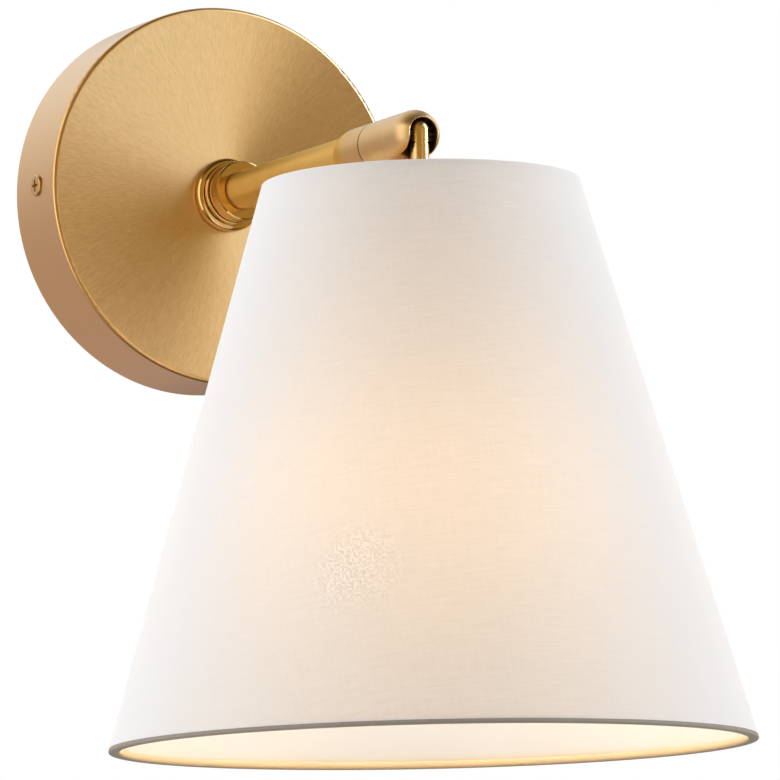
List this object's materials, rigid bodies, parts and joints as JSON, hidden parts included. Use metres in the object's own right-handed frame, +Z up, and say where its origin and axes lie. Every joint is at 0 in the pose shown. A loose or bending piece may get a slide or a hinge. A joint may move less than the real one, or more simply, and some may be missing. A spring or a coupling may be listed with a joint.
{
  "type": "swing arm wall sconce",
  "caption": "Wall sconce with a round pan canopy, a straight arm and a conical fabric shade on a knuckle that turns and tilts.",
  "frame": {"origin": "middle of the canopy's back edge, on the wall, midway between the strap's two slots", "axes": "+Y into the wall, the arm runs out along -Y, +Z up, +X to the right when facing the wall"},
  "size_m": [0.1997, 0.2633, 0.2532],
  "materials": {
    "brushed_brass": "satin, brushed in rays from the middle of the face",
    "screw_brass": "polished",
    "polished_brass": "polished",
    "satin_brass": "satin",
    "champagne_brass": "satin with fine turning lines",
    "zinc_steel": "zinc plated",
    "spring_steel": "oiled",
    "green_paint": "semi-gloss",
    "socket_plastic": "moulded, slightly glossy",
    "contact_brass": "plain",
    "bulb_metal": "bright",
    "bulb_black": "glossy",
    "bulb_glass": "frosted, lit",
    "white_wire": "satin white",
    "shade_fabric": "fine plain weave with faint slubs",
    "shade_liner": "translucent white",
    "lead_jacket": "smooth",
    "connector_plastic": "ribbed"
  },
  "bodies": {
    "base": {"canopy": "brushed_brass", "canopy_side_screws": "screw_brass", "mounting_strap": "zinc_steel", "ground_screw": "green_paint", "arm_nipple": "zinc_steel", "lock_washer": "zinc_steel", "arm_nut": "zinc_steel", "collar_flange": "polished_brass", "collar": "polished_brass", "arm_tube": "satin_brass", "swivel_nose": "champagne_brass", "turn_stop_pin": "spring_steel", "swivel_spring_washer": "spring_steel", "swivel_snap_ring": "spring_steel", "supply_leads": "lead_jacket", "wire_connectors": "connector_plastic"},
    "swivel": {"swivel_body": "champagne_brass", "tilt_pin": "spring_steel"},
    "head": {"knuckle": "polished_brass", "friction_washers": "spring_steel", "socket_cap": "polished_brass", "stem_nut": "zinc_steel", "socket_body": "socket_plastic", "socket_screw_shell": "contact_brass", "socket_centre_contact": "contact_brass", "bulb_contact": "bulb_metal", "bulb_insulator": "bulb_black", "bulb_base": "bulb_metal", "bulb_glass": "bulb_glass", "shade_fitter": "white_wire", "shade_ring_nut": "socket_plastic", "shade_cover": "shade_fabric", "shade_liner": "shade_liner", "shade_top_hem": "shade_fabric", "shade_bottom_hem": "shade_fabric", "shade_bottom_ring": "white_wire"}
  },
  "joints": [
    {"name": "swivel_turn", "type": "hinge", "parent": "base", "child": "swivel", "pos_m": [0, -0.1367, 0], "axis": [0, -1, 0], "range_deg": [-165, 165]},
    {"name": "shade_tilt", "type": "hinge", "parent": "swivel", "child": "head", "pos_m": [0, -0.1634, 0], "axis": [-1, 0, 0], "range_deg": [-5, 90]}
  ]
}
